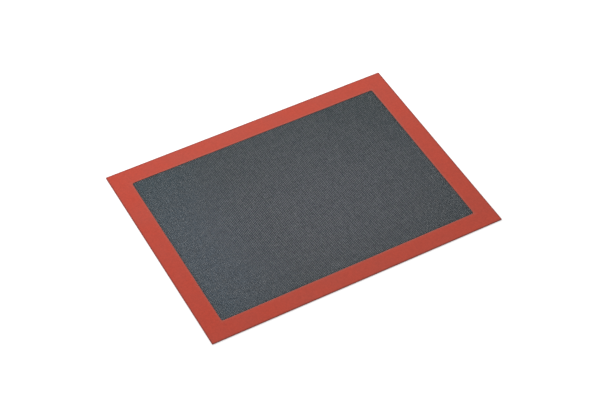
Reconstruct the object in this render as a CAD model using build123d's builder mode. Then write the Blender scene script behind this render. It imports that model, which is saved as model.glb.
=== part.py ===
from build123d import *
import os

# Open-mesh baking mat: a woven glass-fibre net wrapped in black silicone, whose margin lies between
# two red silicone bands that close round its cut edge. The mat lies flat on the XY plane, its long
# side along X, and the origin is the middle of its under face. All lengths are in millimetres.

# Outline of the mat and its bands
mat_length = 400
mat_width = 300
mat_corner_radius = 1
band_width = 25
band_thickness = 0.2
band_edge_radius = 0.1
window_corner_radius = 3
edge_seal = 1

# Mesh in the window of the bands. Each gap stands for a patch of the far finer real openings,
# with the same share of open area.
gaps_along = 20
gaps_across = 15
strand_width = 7.5

# Glass yarns inside the strands, and the black silicone that covers them
yarn_thickness = 0.2
face_cover = 0.1
side_cover = 1
end_cover = 1

# Sizes that follow from those above
window_length = mat_length - 2 * band_width
window_width = mat_width - 2 * band_width
mesh_length = mat_length - 2 * edge_seal
mesh_width = mat_width - 2 * edge_seal
mesh_thickness = 2 * yarn_thickness + 2 * face_cover
mat_thickness = mesh_thickness + 2 * band_thickness
pitch_along = window_length / gaps_along
pitch_across = window_width / gaps_across
gap_length = pitch_along - strand_width
gap_width = pitch_across - strand_width
yarn_width = strand_width - 2 * side_cover

# Heights above the under face
mesh_height = band_thickness
lengthwise_height = mesh_height + face_cover
crosswise_height = lengthwise_height + yarn_thickness
middle_height = mat_thickness / 2


def yarn_count(gaps, pitch):
    """One yarn for each strand beside the gaps, and as many as fit under the band on both sides."""
    room = band_width - edge_seal - end_cover - yarn_width / 2
    return gaps + 1 + 2 * int(room // pitch)


os.makedirs("parts", exist_ok=True)

# Lower set of glass yarns, side by side across the mat's width
with BuildPart() as lengthwise_yarns:
    with BuildSketch(Plane.XY.offset(lengthwise_height)):
        with GridLocations(0, pitch_across, 1, yarn_count(gaps_across, pitch_across)):
            Rectangle(mesh_length - 2 * end_cover, yarn_width)
    extrude(amount=yarn_thickness)
lengthwise_yarns.part.label = "lengthwise_yarns"
export_step(lengthwise_yarns.part, "parts/lengthwise_yarns.step")

# Upper set of glass yarns, lying across the lower one
with BuildPart() as crosswise_yarns:
    with BuildSketch(Plane.XY.offset(crosswise_height)):
        with GridLocations(pitch_along, 0, yarn_count(gaps_along, pitch_along), 1):
            Rectangle(yarn_width, mesh_width - 2 * end_cover)
    extrude(amount=yarn_thickness)
crosswise_yarns.part.label = "crosswise_yarns"
export_step(crosswise_yarns.part, "parts/crosswise_yarns.step")

# Black silicone mesh: one holed sheet with a closed margin, hollow where the yarns lie in it
with BuildPart() as silicone_mesh:
    with BuildSketch(Plane.XY.offset(mesh_height)):
        Rectangle(mesh_length, mesh_width)
        with GridLocations(pitch_along, pitch_across, gaps_along, gaps_across):
            Rectangle(gap_length, gap_width, mode=Mode.SUBTRACT)
    extrude(amount=mesh_thickness, clean=False)
    add([lengthwise_yarns.part, crosswise_yarns.part], mode=Mode.SUBTRACT, clean=False)
silicone_mesh.part.label = "silicone_mesh"
export_step(silicone_mesh.part, "parts/silicone_mesh.step")

# Upper red band: its outer wall comes down round the mesh's cut edge to the middle of the mat,
# and both rims of its upper face are softly rounded
with BuildPart() as upper_band:
    with BuildSketch(Plane.XY.offset(middle_height)):
        RectangleRounded(mat_length, mat_width, mat_corner_radius)
        RectangleRounded(window_length, window_width, window_corner_radius, mode=Mode.SUBTRACT)
    extrude(amount=mat_thickness - middle_height)
    with BuildSketch(Plane.XY.offset(middle_height)):
        Rectangle(mesh_length, mesh_width)
    extrude(amount=mesh_thickness / 2, mode=Mode.SUBTRACT)
    fillet(faces().sort_by(Axis.Z)[-1].edges(), radius=band_edge_radius)
upper_band.part.label = "upper_band"
export_step(upper_band.part, "parts/upper_band.step")

# Lower red band, the mirror image of the upper one; their outer walls meet face to face
with BuildPart() as lower_band:
    mirror(upper_band.part, about=Plane.XY.offset(middle_height))
lower_band.part.label = "lower_band"
export_step(lower_band.part, "parts/lower_band.step")
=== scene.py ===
import math

import bpy
import numpy as np
from bpy.props import FloatProperty, FloatVectorProperty, IntProperty, PointerProperty
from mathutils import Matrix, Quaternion, Vector


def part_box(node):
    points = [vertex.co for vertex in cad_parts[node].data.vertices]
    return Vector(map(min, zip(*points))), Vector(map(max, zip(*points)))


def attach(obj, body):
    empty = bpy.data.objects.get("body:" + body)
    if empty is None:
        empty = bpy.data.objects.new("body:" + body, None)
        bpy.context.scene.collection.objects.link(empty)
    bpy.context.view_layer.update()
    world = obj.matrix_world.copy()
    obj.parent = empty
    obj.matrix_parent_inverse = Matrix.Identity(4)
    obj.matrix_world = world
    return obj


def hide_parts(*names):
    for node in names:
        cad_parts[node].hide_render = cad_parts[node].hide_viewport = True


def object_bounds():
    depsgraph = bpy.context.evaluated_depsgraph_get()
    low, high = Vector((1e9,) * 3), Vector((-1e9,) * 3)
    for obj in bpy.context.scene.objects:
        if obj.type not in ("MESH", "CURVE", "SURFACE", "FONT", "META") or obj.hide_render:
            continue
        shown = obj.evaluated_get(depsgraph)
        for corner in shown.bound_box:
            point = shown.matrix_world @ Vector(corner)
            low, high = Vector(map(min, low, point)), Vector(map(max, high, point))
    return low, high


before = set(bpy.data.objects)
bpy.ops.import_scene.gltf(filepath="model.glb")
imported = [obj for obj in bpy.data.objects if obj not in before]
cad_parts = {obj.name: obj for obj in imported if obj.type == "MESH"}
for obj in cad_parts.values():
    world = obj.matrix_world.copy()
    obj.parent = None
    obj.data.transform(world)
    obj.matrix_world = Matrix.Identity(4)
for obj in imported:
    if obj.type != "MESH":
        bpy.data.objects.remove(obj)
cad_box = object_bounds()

# Open-mesh baking mat: a woven net coated in black silicone, its margin closed by two red silicone
# bands, one on each face. All sizes are in metres. The mat lies on the floor, its long side along X.

bl_info = {
    "name": "Open-mesh baking mat",
    "version": (1, 0, 0),
    "blender": (4, 5, 0),
    "location": "3D View > Sidebar > Baking mat",
    "description": "Makes the woven net, the silicone bands and the stage of a baking mat",
    "category": "Add Mesh",
}

BODY = "root"
MM = 0.001

# Slow waves of the net: how far each goes in a radian, and its phase at the mat's middle
DRIFT_X = (31 * MM, 0.7), (53 * MM, 2.1)
DRIFT_Y = (37 * MM, 1.9), (47 * MM, 0.4)
# Slow waves of the bands' inner edge: how far each goes in a radian
EDGE_WAVES = 9 * MM, 23 * MM
# How far from that edge points still move with it, and over how many corner radii it comes to
# rest towards the window's corners
EDGE_STRIP = 1 * MM
EDGE_FADE_RADII = 3
# Steps in the rounding of a rim, and the angle from which two faces meet in a sharp edge
RIM_STEPS = 3
SHARP_ANGLE = math.radians(60)
# How far a wall is folded out beside the upper face in the flat map
WALL_FOLD = 0.2 * MM
# Where the middle part of noise lies, and how far it swings the gloss
NOISE_SPAN = 0.3, 0.7
GLOSS_DRIFT = 0.05
GRAIN_STRENGTH = 0.6
SILICONE_IOR = 1.41
# How far from the mat's left end the tint there is already full
TINT_MARGIN = 10 * MM

net_low, net_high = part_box("silicone_mesh")
mat_low, mat_high = cad_box
mat_length = mat_high.x - mat_low.x
mat_width = mat_high.y - mat_low.y


# Sizes and colours that a user may change

class NetSizes(bpy.types.PropertyGroup):
    """Sizes of the woven net that fills the mat's window."""

    pitch: FloatProperty(
        name="Pitch", description="Distance between neighbouring strands",
        default=2.0 * MM, min=1.0 * MM, unit="LENGTH")
    strand_width: FloatProperty(
        name="Strand width", description="Width of one coated strand",
        default=1.0 * MM, min=0.2 * MM, unit="LENGTH")
    crimp: FloatProperty(
        name="Crimp", description="How far a strand rises and falls where it crosses another",
        default=0.15 * MM, min=0.0, unit="LENGTH")
    side_height: FloatProperty(
        name="Side height", description="Half the height of a strand's upright side",
        default=0.06 * MM, min=0.0, unit="LENGTH")
    fillet_share: FloatProperty(
        name="Fillet", description="How much wider a strand is at a crossing, as a share of its width",
        default=0.16, min=0.0, max=0.5, subtype="FACTOR")
    waist_share: FloatProperty(
        name="Waist", description="How much narrower a strand is between crossings, as a share",
        default=0.06, min=0.0, max=0.5, subtype="FACTOR")
    place_wander: FloatProperty(
        name="Wander", description="How far a strand may lie from its even place",
        default=0.03 * MM, min=0.0, unit="LENGTH")
    drift: FloatProperty(
        name="Drift", description="How far the net strays from straight in slow waves",
        default=0.3 * MM, min=0.0, unit="LENGTH")
    width_wander: FloatProperty(
        name="Width wander", description="How much strands differ in width, as a share",
        default=0.04, min=0.0, max=0.3, subtype="FACTOR")
    crossing_wander: FloatProperty(
        name="Crossing wander", description="How much crossings of strands differ in size, as a share",
        default=0.13, min=0.0, max=0.3, subtype="FACTOR")
    hidden_strands: IntProperty(
        name="Hidden strands", description="Strands under the band past each side of the window",
        default=2, min=1, max=8)
    strips: IntProperty(
        name="Strips", description="Number of meshes that the net is shared out to",
        default=9, min=1, max=40)
    seed: IntProperty(
        name="Seed", description="Start of the chance in places, widths and crossings", default=7)


class BandSizes(bpy.types.PropertyGroup):
    """Sizes of the two red silicone bands."""

    width: FloatProperty(
        name="Width", description="Width of the band on each side of the mat",
        default=25.0 * MM, min=5.0 * MM, unit="LENGTH")
    corner_radius: FloatProperty(
        name="Corner radius", description="Radius of the mat's own corners",
        default=1.0 * MM, min=0.1 * MM, unit="LENGTH")
    window_radius: FloatProperty(
        name="Window corner radius", description="Radius of the corners of the window in the band",
        default=3.0 * MM, min=0.1 * MM, unit="LENGTH")
    outer_rim: FloatProperty(
        name="Outer rim", description="Radius of the rounding along the mat's cut edge",
        default=0.15 * MM, min=0.01 * MM, unit="LENGTH")
    inner_rim: FloatProperty(
        name="Inner rim", description="Width over which the band thins out at the window",
        default=0.4 * MM, min=0.01 * MM, unit="LENGTH")
    inner_drop: FloatProperty(
        name="Inner drop", description="How much lower the band's face ends at the window",
        default=0.12 * MM, min=0.0, unit="LENGTH")
    grid: FloatProperty(
        name="Grid", description="Distance between the surface's points, half the net's pitch",
        default=1.0 * MM, min=0.25 * MM, unit="LENGTH")
    dimple: FloatProperty(
        name="Dimple", description="How far the band sinks over each filled opening of the net",
        default=0.02 * MM, min=0.0, unit="LENGTH")
    creep: FloatProperty(
        name="Creep", description="How far the band's inner edge creeps along each strand",
        default=0.07 * MM, min=0.0, unit="LENGTH")
    edge_wander: FloatProperty(
        name="Edge wander", description="Slow wander of the band's inner edge",
        default=0.1 * MM, min=0.0, unit="LENGTH")


class Finish(bpy.types.PropertyGroup):
    """Colours and gloss of the two silicones, and the light and shade painted into them."""

    black: FloatVectorProperty(
        name="Black silicone", description="Colour of the net's coating", subtype="COLOR",
        size=4, min=0.0, max=1.0, default=(0.003, 0.015, 0.018, 1.0))
    # Painted light: a pool of it lies on the net, where the coating is lighter than its own black.
    lit_pool_black: FloatVectorProperty(
        name="Dusty black", description="Colour of the coating where use has dulled it",
        subtype="COLOR", size=4, min=0.0, max=1.0, default=(0.052, 0.060, 0.072, 1.0))
    lit_pool_place: FloatVectorProperty(
        name="Dusty place", description="Middle of the dulled patch", size=3,
        subtype="TRANSLATION", default=(19.0 * MM, -35.0 * MM, 0.0))
    lit_pool_reach: FloatVectorProperty(
        name="Dusty reach", description="How far the dulled patch reaches each way", size=3,
        subtype="TRANSLATION", default=(340.0 * MM, 270.0 * MM, 1.0))
    # Painted light: the net's coating grows lighter and bluer towards the mat's left end.
    lit_end_tint: FloatVectorProperty(
        name="Cool end", size=3, min=0.0, default=(1.6, 1.67, 1.86),
        description="What the coating's red, green and blue are multiplied by at the mat's left end")
    lit_end_start: FloatProperty(
        name="Cool start", description="Where along the mat that change starts",
        default=-43.0 * MM, unit="LENGTH")
    black_roughness: FloatProperty(
        name="Black roughness", description="Dullness of the net's coating",
        default=0.6, min=0.0, max=1.0, subtype="FACTOR")
    red: FloatVectorProperty(
        name="Red silicone", description="Colour of the bands", subtype="COLOR",
        size=4, min=0.0, max=1.0, default=(0.474, 0.056, 0.0298, 1.0))
    warm_end: FloatVectorProperty(
        name="Warm end", size=3, min=0.0, default=(1.03, 0.88, 0.8),
        description="What the bands' red, green and blue are multiplied by at the mat's left end")
    warm_start: FloatProperty(
        name="Warm start", description="Where along the mat that change starts",
        default=-60.0 * MM, unit="LENGTH")
    red_roughness: FloatProperty(
        name="Red roughness", description="Dullness of the bands",
        default=0.76, min=0.0, max=1.0, subtype="FACTOR")
    # Painted highlight: the bands are paler along the window.
    rim_highlight_red: FloatVectorProperty(
        name="Pale red", description="Colour of the bands where they thin out at the window",
        subtype="COLOR", size=4, min=0.0, max=1.0, default=(0.448, 0.08, 0.051, 1.0))
    rim_highlight_width: FloatProperty(
        name="Pale width", description="Width of that paler rim",
        default=3.5 * MM, min=0.01 * MM, unit="LENGTH")
    # Painted shade: the bands darken in a fine line along the cut edge.
    edge_shade_width: FloatProperty(
        name="Trim width", description="Width of the darker line along the band's cut edge",
        default=2.4 * MM, min=0.01 * MM, unit="LENGTH")
    edge_shade_tone: FloatProperty(
        name="Trim tone", description="Tone of the band in that line, as a share of its colour",
        default=0.55, min=0.0, max=1.0, subtype="FACTOR")
    # Painted shade: the net is darker along the bands.
    band_shade_width: FloatProperty(
        name="Margin width", description="Width of the net's darker margin along the bands",
        default=5.5 * MM, min=0.01 * MM, unit="LENGTH")
    band_shade_tone: FloatProperty(
        name="Margin tone", description="Tone of the net at its rim, as a share of its colour",
        default=0.5, min=0.0, max=1.0, subtype="FACTOR")


class StageSizes(bpy.types.PropertyGroup):
    """Camera, lamp, sky and floor."""

    lens: FloatProperty(
        name="Lens", description="Focal length in millimetres on a 36 mm sensor",
        default=98.64, min=1.0, unit="CAMERA")
    distance: FloatProperty(
        name="Distance", description="From the camera to the point that it looks at",
        default=2.0515, unit="LENGTH")
    azimuth: FloatProperty(
        name="Azimuth", description="Camera's turn round the mat from straight in front",
        default=math.radians(-28.577), subtype="ANGLE")
    elevation: FloatProperty(
        name="Elevation", description="Camera's height above the floor as an angle",
        default=math.radians(47.887), subtype="ANGLE")
    roll: FloatProperty(
        name="Roll", description="Camera's turn about its own line of sight",
        default=math.radians(-0.203), subtype="ANGLE")
    aim: FloatVectorProperty(
        name="Aim", description="Point of the mat's upper face that the camera looks at",
        default=(-3.07 * MM, -1.77 * MM, mat_high.z), subtype="TRANSLATION")
    lamp_place: FloatVectorProperty(
        name="Lamp place", description="Middle of the large soft lamp, behind and above the mat",
        default=(-0.04, 0.93, 0.8), subtype="TRANSLATION")
    lamp_size: FloatProperty(
        name="Lamp size", description="Side of the soft lamp", default=0.9, unit="LENGTH")
    lamp_watts: FloatProperty(
        name="Lamp power", description="Power of the soft lamp in watts",
        default=11.8, min=0.0, unit="POWER")
    sky_strength: FloatProperty(
        name="Sky strength", description="Even light from all round", default=0.5, min=0.0)
    floor_size: FloatProperty(
        name="Floor size", description="Side of the square floor", default=12.0, unit="LENGTH")
    floor_gap: FloatProperty(
        name="Floor gap", description="How far the floor lies below the mat's under face",
        default=0.02 * MM, unit="LENGTH")
    floor_colour: FloatVectorProperty(
        name="Floor colour", description="Colour of the floor", subtype="COLOR",
        size=4, min=0.0, max=1.0, default=(0.9, 0.9, 0.9, 1.0))
    floor_lift: FloatVectorProperty(
        name="Floor lift", size=2, min=0.0, default=(0.3, 0.6),
        description="White added to the floor as the camera sees it, beside the mat and further off")
    lift_reach: FloatProperty(
        name="Lift reach", description="How far from the mat the floor is at its whitest",
        default=0.5, min=0.01, unit="LENGTH")


# Meshes

def grid_solid(name, x, y, low, high, kept):
    """A closed solid over the kept cells of a grid of rows and columns. Its corners lie at x and y,
    its lower face at the heights low and its upper face at the heights high. An upright wall closes
    every edge between a kept cell and one that is left out, or the grid's own rim; rim walls are
    shaded flat, so that neighbouring solids join without a seam."""
    rows, columns = x.shape
    point = np.arange(rows * columns).reshape(rows, columns)
    ring = [point[:-1, :-1], point[:-1, 1:], point[1:, 1:], point[1:, :-1]]
    above = rows * columns
    faces = [
        np.stack([c[kept] for c in ring], -1) + above,
        np.stack([c[kept] for c in ring[::-1]], -1),
    ]
    smooth = [np.ones(len(f), bool) for f in faces]
    outward = [np.zeros((len(f), 2)) for f in faces]
    around = np.pad(kept, 1)
    row, column = np.indices(kept.shape)
    sides = [
        (0, 1, around[:-2, 1:-1], row == 0, (0, -1)),
        (1, 2, around[1:-1, 2:], column == kept.shape[1] - 1, (1, 0)),
        (2, 3, around[2:, 1:-1], row == kept.shape[0] - 1, (0, 1)),
        (3, 0, around[1:-1, :-2], column == 0, (-1, 0)),
    ]
    for start, end, neighbour, rim, way in sides:
        edge = kept & ~neighbour
        a, b = ring[start][edge], ring[end][edge]
        faces.append(np.stack([a, b, b + above, a + above], -1))
        smooth.append(~rim[edge])
        outward.append(np.tile(way, (len(a), 1)))
    faces, smooth, outward = map(np.concatenate, (faces, smooth, outward))
    used, corner = np.unique(faces, return_inverse=True)
    place = np.stack(
        [np.tile(x.ravel(), 2), np.tile(y.ravel(), 2), np.r_[low.ravel(), high.ravel()]], -1)
    mesh = bpy.data.meshes.new(name)
    mesh.vertices.add(len(used))
    mesh.vertices.foreach_set("co", place[used].astype(np.float32).ravel())
    mesh.loops.add(faces.size)
    mesh.loops.foreach_set("vertex_index", corner.ravel().astype(np.int32))
    mesh.polygons.add(len(faces))
    mesh.polygons.foreach_set("loop_start", np.arange(0, faces.size, 4, dtype=np.int32))
    mesh.polygons.foreach_set("use_smooth", smooth)
    mesh.update(calc_edges=True)
    if mesh.validate():
        raise RuntimeError(f"{name} has faces that can't be")
    flat_map(mesh, place[faces], faces >= above, outward)
    solid = bpy.data.objects.new(name, mesh)
    bpy.context.scene.collection.objects.link(solid)
    return solid


def flat_map(mesh, place, upper, outward):
    """Lays the solid's faces out flat: the upper face fills the map's upper half by its x and y, the
    under face the lower half, and the walls fold out into the openings beside them."""
    low = place[..., :2].min((0, 1))
    span = np.ptp(place[..., :2], axis=(0, 1))
    wall = (outward != 0).any(1)
    fold = np.where(upper[..., None], 0.0, outward[:, None, :]) * WALL_FOLD
    flat = (place[..., :2] + fold - low) / span
    top_half = upper | wall[:, None]
    flat[..., 1] = (flat[..., 1] + top_half) / 2
    layer = mesh.uv_layers.new(name="OFBake")
    layer.uv.foreach_set("vector", flat.astype(np.float32).ravel())


def half_window(bands):
    """Half the length and half the width of the window in the bands."""
    return mat_length / 2 - bands.width, mat_width / 2 - bands.width


def wave(distance, radian, phase):
    """A sine along a distance, which goes a radian in each length radian and has phase at 0."""
    return np.sin(distance / radian + phase)


# The woven net

def strand_lines(window, sizes, rng):
    """Grid lines across one set of parallel strands: for each strand its two sides and its middle
    line, and between strands the middle of the gap. Gives each line's base place, the side of the
    strand that it follows (-1, 0 or 1), whether it is mid-gap, the strand's number and half width.
    The strands stand a pitch apart, off their places and widths by a little seeded chance."""
    gaps = round(window / sizes.pitch)
    count = gaps + 1 + 2 * sizes.hidden_strands
    middle = (np.arange(count) - (count - 1) / 2) * window / gaps
    middle += rng.uniform(-1, 1, count) * sizes.place_wander
    half = sizes.strand_width / 2 * (1 + rng.uniform(-1, 1, count) * sizes.width_wander)
    following = np.append(middle[1:], middle[-1])
    base = np.stack([middle, middle, middle, (middle + following) / 2], 1).ravel()[:-1]
    side = np.tile([-1, 0, 1, 0], count)[:-1]
    mid_gap = np.tile([False, False, False, True], count)[:-1]
    return base, side, mid_gap, np.repeat(np.arange(count), 4)[:-1], np.repeat(half, 4)[:-1]


def drifted(x, y, drift):
    """Moves points by slow waves, so that the net isn't quite straight anywhere: each coordinate
    gets a sine of the other one and a sine of a slanted distance."""
    across, slanted = DRIFT_X
    move_x = wave(y, *across) + wave(x + y, *slanted)
    across, slanted = DRIFT_Y
    move_y = wave(x, *across) + wave(x - y, *slanted)
    return x + move_x * drift / 2, y + move_y * drift / 2


def weave(sizes, window_length, window_width):
    """The net as arrays of x, y, lower and upper heights and kept cells. A strand's middle line
    rises and falls as a cosine, up over one crossing and down under the next, a half turn out of
    step with its neighbours. Its section falls from crown to sides, and each face of the net is the
    highest, or lowest, of the strands there. Strands widen at crossings and thin in between, which
    rounds the openings, and every crossing is a little larger or smaller by chance."""
    rng = np.random.default_rng(sizes.seed)
    base_x, side_x, gap_x, number_x, half_x = strand_lines(window_length, sizes, rng)
    base_y, side_y, gap_y, number_y, half_y = strand_lines(window_width, sizes, rng)
    wide, thin = 1 + sizes.fillet_share, 1 - sizes.waist_share
    chance = rng.uniform(-1, 1, (number_y[-1] + 1, number_x[-1] + 1))[number_y][:, number_x]
    uneven = 1 + chance * sizes.crossing_wander
    spread_x = np.where(gap_y, thin, wide)[:, None] * half_x * uneven
    spread_y = np.where(gap_x, thin, wide) * half_y[:, None] * uneven
    x = base_x + side_x * spread_x
    y = base_y[:, None] + side_y[:, None] * spread_y
    x, y = drifted(x, y, sizes.drift)
    turn = np.where((number_x + number_y[:, None]) % 2, -1.0, 1.0)
    wave_x = np.where(gap_x, 0.0, np.cos(np.pi * side_x * half_x / sizes.pitch))
    wave_y = np.where(gap_y, 0.0, np.cos(np.pi * side_y * half_y / sizes.pitch))
    thickness = net_high.z - net_low.z
    crown = thickness / 2 - sizes.crimp
    lengthwise = sizes.crimp * turn * wave_x
    crosswise = -sizes.crimp * turn * wave_y[:, None]
    section_y = np.where(side_y == 0, crown, sizes.side_height)[:, None]
    section_x = np.where(side_x == 0, crown, sizes.side_height)
    absent = -thickness
    over = np.maximum(
        np.where(gap_y[:, None], absent, lengthwise + section_y),
        np.where(gap_x, absent, crosswise + section_x))
    under = np.maximum(
        np.where(gap_y[:, None], absent, section_y - lengthwise),
        np.where(gap_x, absent, section_x - crosswise))
    centre = (net_high.z + net_low.z) / 2
    open_x = gap_x[:-1] | gap_x[1:]
    open_y = gap_y[:-1] | gap_y[1:]
    kept = ~(open_y[:, None] & open_x)
    return x, y, centre - under, centre + over, kept, gap_y


def make_net(sizes, bands, material):
    """Shares the net out to strips, each cut from the next in the middle of a row of gaps."""
    half_length, half_width = half_window(bands)
    x, y, low, high, kept, gap_y = weave(sizes, 2 * half_length, 2 * half_width)
    even = np.linspace(0, gap_y.sum() - 1, sizes.strips + 1).round().astype(int)
    cuts = np.flatnonzero(gap_y)[even]
    cuts[0], cuts[-1] = 0, len(gap_y) - 1
    for number, (first, last) in enumerate(zip(cuts[:-1], cuts[1:]), 1):
        rows = slice(first, last + 1)
        strip = grid_solid(
            f"woven_net_{number}", x[rows], y[rows], low[rows], high[rows], kept[first:last])
        strip.data.materials.append(material)
        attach(strip, BODY)
        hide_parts("silicone_mesh", "lengthwise_yarns", "crosswise_yarns")


# The red bands

def band_lines(half_mat, half_opening, bands):
    """Grid lines across the mat: even ones, with closer ones where a rim is rounded. Along a rim of
    radius r they lie r (1 - sin a) from the edge, for a in equal steps from a right angle to 0.
    Lines less than a tenth of a micrometre apart are one."""
    even = np.arange(0, half_mat + bands.grid / 2, bands.grid)
    share = 1 - np.sin(np.linspace(np.pi / 2, 0, RIM_STEPS + 1))[1:]
    half = np.concatenate([
        even, half_mat - bands.outer_rim * share, half_opening + bands.inner_rim * share])
    half = np.unique(half.round(7))
    return np.concatenate([-half[:0:-1], half])


def round_off(distance, width, drop):
    """How much lower a face lies near its edge: a quarter of an ellipse, drop at the edge and 0 at
    width from it."""
    near = np.clip(1 - distance / width, 0, 1)
    return drop * (1 - np.sqrt(1 - near ** 2))


def rounded_corner(x, y, corner_x, corner_y, radius):
    """Moves points so that the square corner at (corner_x, corner_y), and its mirror images, becomes
    round: the square on the corner's arc centre goes to a disc by a' = a sqrt(1 - b b / 2) and
    b' = b sqrt(1 - a a / 2), and points outside it follow less and less, up to a radius away."""
    a = np.clip((abs(x) - corner_x) / radius + 1, 0, None)
    b = np.clip((abs(y) - corner_y) / radius + 1, 0, None)
    inner_a, inner_b = np.minimum(a, 1), np.minimum(b, 1)
    follow = np.clip(2 - np.maximum(a, b), 0, 1)
    move_a = inner_a * (np.sqrt(1 - inner_b ** 2 / 2) - 1) * radius * follow
    move_b = inner_b * (np.sqrt(1 - inner_a ** 2 / 2) - 1) * radius * follow
    return x + np.sign(x) * move_a, y + np.sign(y) * move_b


def crept(place, along, edge, span, bands, pitch, phase):
    """Moves the band's inner edge at plus and minus edge: it creeps inwards along each strand and
    back over each gap, and wanders slowly, dying out towards the window's corners and away from
    the edge."""
    strand = np.cos(2 * np.pi * (along - span) / pitch) * bands.creep
    quick, slow = EDGE_WAVES
    wander = (wave(along, quick, phase) + wave(along, slow, 2 * phase)) * bands.edge_wander / 2
    from_corner = np.clip((span - abs(along)) / (EDGE_FADE_RADII * bands.window_radius), 0, 1)
    from_edge = np.clip(1 - abs(abs(place) - edge) / EDGE_STRIP, 0, 1)
    return place - np.sign(place) * (strand + wander) * from_corner * from_edge


def band_face(bands, pitch):
    """One band's face as arrays of x, y, depth below its highest level and kept cells. It is flat,
    rounded off at both edges, and sinks by a product of two squared sines over each filled opening
    of the net below, less within a pitch of an edge."""
    half_x, half_y = mat_length / 2, mat_width / 2
    window_x, window_y = half_window(bands)
    lines_x = band_lines(half_x, window_x, bands)
    lines_y = band_lines(half_y, window_y, bands)
    x, y = np.meshgrid(lines_x, lines_y)
    outer = np.minimum(half_x - abs(x), half_y - abs(y))
    inner = np.maximum(abs(x) - window_x, abs(y) - window_y)
    sink = np.sin(np.pi * (x - window_x) / pitch) ** 2 * np.sin(np.pi * (y - window_y) / pitch) ** 2
    sink *= np.clip(np.minimum(outer, inner) / pitch, 0, 1)
    depth = bands.dimple * sink
    depth += round_off(outer, bands.outer_rim, bands.outer_rim)
    depth += round_off(inner.clip(0), bands.inner_rim, bands.inner_drop)
    middle_x = (lines_x[:-1] + lines_x[1:]) / 2
    middle_y = (lines_y[:-1] + lines_y[1:]) / 2
    kept = (abs(middle_x) > window_x) | (abs(middle_y) > window_y)[:, None]
    x = crept(x, y, window_x, window_y, bands, pitch, phase=1.0)
    y = crept(y, x, window_y, window_x, bands, pitch, phase=2.0)
    x, y = rounded_corner(x, y, window_x, window_y, bands.window_radius)
    x, y = rounded_corner(x, y, half_x, half_y, bands.corner_radius)
    return x, y, depth, kept


def make_bands(bands, pitch, material):
    """The upper band from the mat's middle height up, and the lower one as its mirror image."""
    x, y, depth, kept = band_face(bands, pitch)
    middle = np.full(x.shape, (mat_low.z + mat_high.z) / 2)
    upper = grid_solid("upper_red_band", x, y, middle, mat_high.z - depth, kept)
    lower = grid_solid("lower_red_band", x, y, mat_low.z + depth, middle, kept)
    for band, node in ((upper, "upper_band"), (lower, "lower_band")):
        band.data.set_sharp_from_angle(angle=SHARP_ANGLE)
        band.data.materials.append(material)
        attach(band, BODY)
        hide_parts(node)


# Materials

def new_material(name):
    """A material with its nodes cleared, its node tree and its output."""
    material = bpy.data.materials.new(name)
    material.use_nodes = True
    tree = material.node_tree
    tree.nodes.clear()
    return material, tree, tree.nodes.new("ShaderNodeOutputMaterial")


def feed(tree, socket, value):
    """Links another node's output to a socket, or sets the socket to a plain value."""
    if isinstance(value, bpy.types.NodeSocket):
        tree.links.new(value, socket)
    else:
        socket.default_value = value


def own_place(tree):
    """A point's place in the piece's own coordinates."""
    return tree.nodes.new("ShaderNodeTexCoord").outputs["Object"]


def own_axes(tree):
    """That place taken apart, by X, Y and Z."""
    parts = tree.nodes.new("ShaderNodeSeparateXYZ")
    tree.links.new(own_place(tree), parts.inputs["Vector"])
    return parts.outputs


def noise(tree, size, detail):
    """Noise over the piece's own coordinates whose features are about size across, from 0 to 1."""
    texture = tree.nodes.new("ShaderNodeTexNoise")
    texture.inputs["Scale"].default_value = 1 / size
    texture.inputs["Detail"].default_value = detail
    tree.links.new(own_place(tree), texture.inputs["Vector"])
    return texture.outputs["Fac"]


def ranged(tree, value, start, end, low, high, course="LINEAR"):
    """A value that goes from low at start to high at end, and stays there beyond."""
    node = tree.nodes.new("ShaderNodeMapRange")
    node.interpolation_type = course
    for name, bound in (("From Min", start), ("From Max", end), ("To Min", low), ("To Max", high)):
        node.inputs[name].default_value = bound
    tree.links.new(value, node.inputs["Value"])
    return node.outputs["Result"]


def eased(tree, value, start, end, low=0.0, high=1.0):
    """A value that goes smoothly from low at start to high at end."""
    return ranged(tree, value, start, end, low, high, "SMOOTHSTEP")


def swung(tree, value, middle, swing):
    """A value about middle that the middle part of noise swings by swing either way."""
    return ranged(tree, value, *NOISE_SPAN, middle - swing, middle + swing)


def worked_out(tree, operation, *values):
    """The result of a math operation on values, each a number or another node's output."""
    node = tree.nodes.new("ShaderNodeMath")
    node.operation = operation
    for socket, value in zip(node.inputs, values):
        feed(tree, socket, value)
    return node.outputs[0]


def beyond_rectangle(tree, half_x, half_y):
    """How far a point lies beyond a rectangle about the origin: 0 at its rim, less inside it."""
    axes = own_axes(tree)
    return worked_out(tree, "MAXIMUM", *(
        worked_out(tree, "SUBTRACT", worked_out(tree, "ABSOLUTE", axes[axis]), half)
        for axis, half in (("X", half_x), ("Y", half_y))))


def toned(tree, colour, tone):
    """A colour made lighter or darker by a value about 1, both from other nodes."""
    scaled = tree.nodes.new("ShaderNodeVectorMath")
    scaled.operation = "SCALE"
    tree.links.new(colour, scaled.inputs[0])
    tree.links.new(tone, scaled.inputs["Scale"])
    return scaled.outputs["Vector"]


def grain(tree, height, depth):
    """Fine relief from a value, depth metres deep."""
    bump = tree.nodes.new("ShaderNodeBump")
    bump.inputs["Strength"].default_value = GRAIN_STRENGTH
    bump.inputs["Distance"].default_value = depth
    tree.links.new(height, bump.inputs["Height"])
    return bump.outputs["Normal"]


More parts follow.
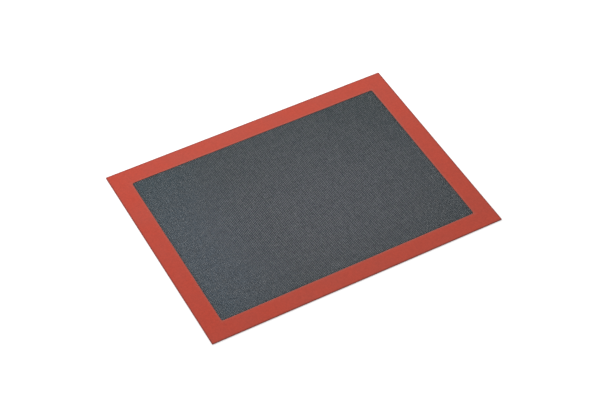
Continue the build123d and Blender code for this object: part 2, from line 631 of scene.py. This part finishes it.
def silicone(name, roughness, patch, mottle, patch_tone, mottle_tone, grain_size, grain_depth):
    """Satin silicone rubber without its colour: its tone drifts over wide patches and fine
    mottling, its gloss drifts with the patches, and its skin has a fine grain. Gives the material,
    its tree, its shader and the tone."""
    material, tree, output = new_material(name)
    shader = tree.nodes.new("ShaderNodeBsdfPrincipled")
    shader.inputs["IOR"].default_value = SILICONE_IOR
    wide = noise(tree, patch, detail=2.0)
    fine = noise(tree, mottle, detail=3.0)
    skin = noise(tree, grain_size, detail=2.0)
    tone = worked_out(
        tree, "MULTIPLY", swung(tree, wide, 1.0, patch_tone), swung(tree, fine, 1.0, mottle_tone))
    tree.links.new(swung(tree, wide, roughness, GLOSS_DRIFT), shader.inputs["Roughness"])
    tree.links.new(grain(tree, skin, grain_depth), shader.inputs["Normal"])
    tree.links.new(shader.outputs["BSDF"], output.inputs["Surface"])
    return material, tree, shader, tone


def mixed(tree, share, first, second, blend="MIX"):
    """One colour at a share of 0 and another at a share of 1, each a colour or a node's output."""
    mix = tree.nodes.new("ShaderNodeMix")
    mix.data_type = "RGBA"
    mix.blend_type = blend
    feed(tree, mix.inputs["A"], first)
    feed(tree, mix.inputs["B"], second)
    tree.links.new(share, mix.inputs["Factor"])
    return mix.outputs["Result"]


def brightened(tree, finish):
    """The coating's colour, from its lighter one in the middle of a pool of painted light to its full
    dark one at the pool's reach."""
    from_middle, in_reach, away = (tree.nodes.new("ShaderNodeVectorMath") for _ in range(3))
    from_middle.operation, in_reach.operation, away.operation = "SUBTRACT", "DIVIDE", "LENGTH"
    from_middle.inputs[1].default_value = finish.lit_pool_place
    in_reach.inputs[1].default_value = finish.lit_pool_reach
    tree.links.new(own_place(tree), from_middle.inputs[0])
    tree.links.new(from_middle.outputs["Vector"], in_reach.inputs[0])
    tree.links.new(in_reach.outputs["Vector"], away.inputs[0])
    share = eased(tree, away.outputs["Value"], 0.0, 1.0)
    return mixed(tree, share, finish.lit_pool_black, finish.black)


def tinted_end(tree, colour, start, tint):
    """A colour whose red, green and blue are multiplied by tint at the mat's left end, and by less
    of it up to start, from where the colour stays as it is."""
    share = eased(tree, own_axes(tree)["X"], mat_low.x + TINT_MARGIN, start, low=1.0, high=0.0)
    return mixed(tree, share, colour, (*tint, 1.0), "MULTIPLY")


def shaded_inside(tree, tone, half_x, half_y, width, share):
    """A tone that falls to a share of itself, over width, just inside a rectangle about the origin:
    painted shade.
    """
    shade_share = eased(
        tree, beyond_rectangle(tree, half_x, half_y), -width, 0.0, low=1.0, high=share)
    return worked_out(tree, "MULTIPLY", tone, shade_share)


def black_silicone(finish, bands):
    """The net's coating: a dark blue-grey, lighter in a pool of painted light, lighter and bluer
    towards the mat's left end in painted light, and darkest along the bands in painted shade."""
    material, tree, shader, tone = silicone(
        "black_silicone_skin", finish.black_roughness, patch=30 * MM, mottle=3.2 * MM,
        patch_tone=0.08, mottle_tone=0.28, grain_size=0.25 * MM, grain_depth=0.01 * MM)
    # painted shade on the net along the bands
    tone = shaded_inside(tree, tone, *half_window(bands), finish.band_shade_width, finish.band_shade_tone)
    # painted light: lighter and bluer towards the mat's left end
    # painted light: the coating is lighter in a wide patch about the lit pool's place
    colour = tinted_end(tree, brightened(tree, finish), finish.lit_end_start, finish.lit_end_tint)
    tree.links.new(toned(tree, colour, tone), shader.inputs["Base Color"])
    return material


def red_silicone(finish, bands):
    """The bands: a smooth brick red, warmer towards the mat's left end, with a painted highlight along
    the window and painted shade in a fine line along the cut edge."""
    material, tree, shader, tone = silicone(
        "red_silicone_skin", finish.red_roughness, patch=45 * MM, mottle=2.5 * MM,
        patch_tone=0.05, mottle_tone=0.07, grain_size=0.4 * MM, grain_depth=0.01 * MM)
    # painted shade along the bands' cut edge
    tone = shaded_inside(tree, tone, mat_length / 2, mat_width / 2, finish.edge_shade_width, finish.edge_shade_tone)
    # painted highlight along the window
    from_highlight = eased(tree, beyond_rectangle(tree, *half_window(bands)), 0.0, finish.rim_highlight_width)
    colour = mixed(tree, from_highlight, finish.rim_highlight_red, finish.red)
    colour = tinted_end(tree, colour, finish.warm_start, finish.warm_end)
    tree.links.new(toned(tree, colour, tone), shader.inputs["Base Color"])
    return material


def seen_directly(tree):
    """1 for rays from the camera and for mirrored and refracted ones, and 0 for the rest."""
    path = tree.nodes.new("ShaderNodeLightPath")
    mirrored = worked_out(
        tree, "MAXIMUM", path.outputs["Is Glossy Ray"], path.outputs["Is Transmission Ray"])
    return worked_out(tree, "MAXIMUM", path.outputs["Is Camera Ray"], mirrored)


def floor_finish(stage):
    """The floor's own pale colour, lit and shaded as it lies, and lifted towards white where the
    camera sees it round the mat. Under the net it stays as dark as it is."""
    material, tree, output = new_material("pale_floor")
    shader = tree.nodes.new("ShaderNodeBsdfDiffuse")
    shader.inputs["Color"].default_value = stage.floor_colour
    lift = tree.nodes.new("ShaderNodeEmission")
    beyond = beyond_rectangle(tree, mat_length / 2, mat_width / 2)
    white = ranged(tree, beyond, 0.0, stage.lift_reach, *stage.floor_lift)
    shown = worked_out(
        tree, "MULTIPLY", seen_directly(tree), worked_out(tree, "GREATER_THAN", beyond, 0.0))
    strength = worked_out(tree, "MULTIPLY", shown, white)
    tree.links.new(strength, lift.inputs["Strength"])
    both = tree.nodes.new("ShaderNodeAddShader")
    tree.links.new(shader.outputs["BSDF"], both.inputs[0])
    tree.links.new(lift.outputs["Emission"], both.inputs[1])
    tree.links.new(both.outputs["Shader"], output.inputs["Surface"])
    return material


# The stage

def lay_floor(stage):
    """A flat square floor just below the mat."""
    half = stage.floor_size / 2
    level = mat_low.z - stage.floor_gap
    mesh = bpy.data.meshes.new("floor")
    mesh.from_pydata(
        [(-half, -half, level), (half, -half, level), (half, half, level), (-half, half, level)],
        [], [(0, 1, 2, 3)])
    mesh.materials.append(floor_finish(stage))
    floor = bpy.data.objects.new("floor", mesh)
    bpy.context.scene.collection.objects.link(floor)


def light_sky(stage):
    """Even light from all round, which the camera sees as plain white."""
    world = bpy.data.worlds.new("studio")
    world.use_nodes = True
    tree = world.node_tree
    tree.nodes.clear()
    output = tree.nodes.new("ShaderNodeOutputWorld")
    light, white = (tree.nodes.new("ShaderNodeBackground") for _ in range(2))
    light.inputs["Color"].default_value = white.inputs["Color"].default_value = (1, 1, 1, 1)
    light.inputs["Strength"].default_value = stage.sky_strength
    white.inputs["Strength"].default_value = 1.0
    mix = tree.nodes.new("ShaderNodeMixShader")
    tree.links.new(seen_directly(tree), mix.inputs["Fac"])
    tree.links.new(light.outputs["Background"], mix.inputs[1])
    tree.links.new(white.outputs["Background"], mix.inputs[2])
    tree.links.new(mix.outputs["Shader"], output.inputs["Surface"])
    bpy.context.scene.world = world


def hang_lamp(stage):
    """One large soft lamp, turned towards the mat."""
    lamp = bpy.data.lights.new("soft_lamp", "AREA")
    lamp.shape = "SQUARE"
    lamp.size = stage.lamp_size
    lamp.energy = stage.lamp_watts
    holder = bpy.data.objects.new("soft_lamp", lamp)
    holder.location = stage.lamp_place
    holder.rotation_euler = (-Vector(stage.lamp_place)).to_track_quat("-Z", "Y").to_euler()
    bpy.context.scene.collection.objects.link(holder)


def set_camera(stage):
    """The camera, placed by its turn, height and distance from the point that it looks at."""
    turn, height = stage.azimuth, stage.elevation
    back = Vector((
        math.sin(turn) * math.cos(height), -math.cos(turn) * math.cos(height), math.sin(height)))
    data = bpy.data.cameras.new("camera")
    data.lens = stage.lens
    camera = bpy.data.objects.new("camera", data)
    camera.location = Vector(stage.aim) + back * stage.distance
    camera.rotation_mode = "QUATERNION"
    camera.rotation_quaternion = (
        (-back).to_track_quat("-Z", "Y") @ Quaternion((0, 0, 1), stage.roll))
    bpy.context.scene.collection.objects.link(camera)
    bpy.context.scene.camera = camera


# Operators, panel and registration

class WeaveNet(bpy.types.Operator):
    """Weave the net and coat it in black silicone"""

    bl_idname = "baking_mat.weave_net"
    bl_label = "Weave net"

    def execute(self, context):
        mat = context.scene.baking_mat
        make_net(mat.net, mat.bands, black_silicone(mat.finish, mat.bands))
        return {"FINISHED"}


class LayBands(bpy.types.Operator):
    """Close the net's margin with a red silicone band on each face"""

    bl_idname = "baking_mat.lay_bands"
    bl_label = "Lay bands"

    def execute(self, context):
        mat = context.scene.baking_mat
        make_bands(mat.bands, mat.net.pitch, red_silicone(mat.finish, mat.bands))
        return {"FINISHED"}


class SetStage(bpy.types.Operator):
    """Set the floor, the light and the camera"""

    bl_idname = "baking_mat.set_stage"
    bl_label = "Set stage"

    def execute(self, context):
        stage = context.scene.baking_mat.stage
        lay_floor(stage)
        light_sky(stage)
        hang_lamp(stage)
        set_camera(stage)
        context.scene.view_settings.view_transform = "Standard"
        return {"FINISHED"}


class BakingMat(bpy.types.PropertyGroup):
    """All sizes, colours and stage values of the baking mat."""

    net: PointerProperty(type=NetSizes)
    bands: PointerProperty(type=BandSizes)
    finish: PointerProperty(type=Finish)
    stage: PointerProperty(type=StageSizes)


class BakingMatPanel(bpy.types.Panel):
    """Panel in the 3D view's sidebar with the mat's sizes and operators"""

    bl_label = "Baking mat"
    bl_idname = "VIEW3D_PT_baking_mat"
    bl_space_type = "VIEW_3D"
    bl_region_type = "UI"
    bl_category = "Baking mat"

    def draw(self, context):
        mat = context.scene.baking_mat
        for group, operator in (
            (mat.finish, None),
            (mat.net, WeaveNet),
            (mat.bands, LayBands),
            (mat.stage, SetStage),
        ):
            box = self.layout.box()
            for name in group.__annotations__:
                box.prop(group, name)
            if operator:
                box.operator(operator.bl_idname)


CLASSES = (
    NetSizes, BandSizes, Finish, StageSizes, BakingMat,
    WeaveNet, LayBands, SetStage, BakingMatPanel,
)


def register():
    """Registers the classes and gives each scene the mat's values."""
    for cls in CLASSES:
        bpy.utils.register_class(cls)
    bpy.types.Scene.baking_mat = PointerProperty(type=BakingMat)


def unregister():
    """Undoes register."""
    del bpy.types.Scene.baking_mat
    for cls in reversed(CLASSES):
        bpy.utils.unregister_class(cls)


def main():
    """Makes the mat and its stage."""
    register()
    bpy.ops.baking_mat.weave_net()
    bpy.ops.baking_mat.lay_bands()
    bpy.ops.baking_mat.set_stage()


if __name__ == "__main__":
    main()
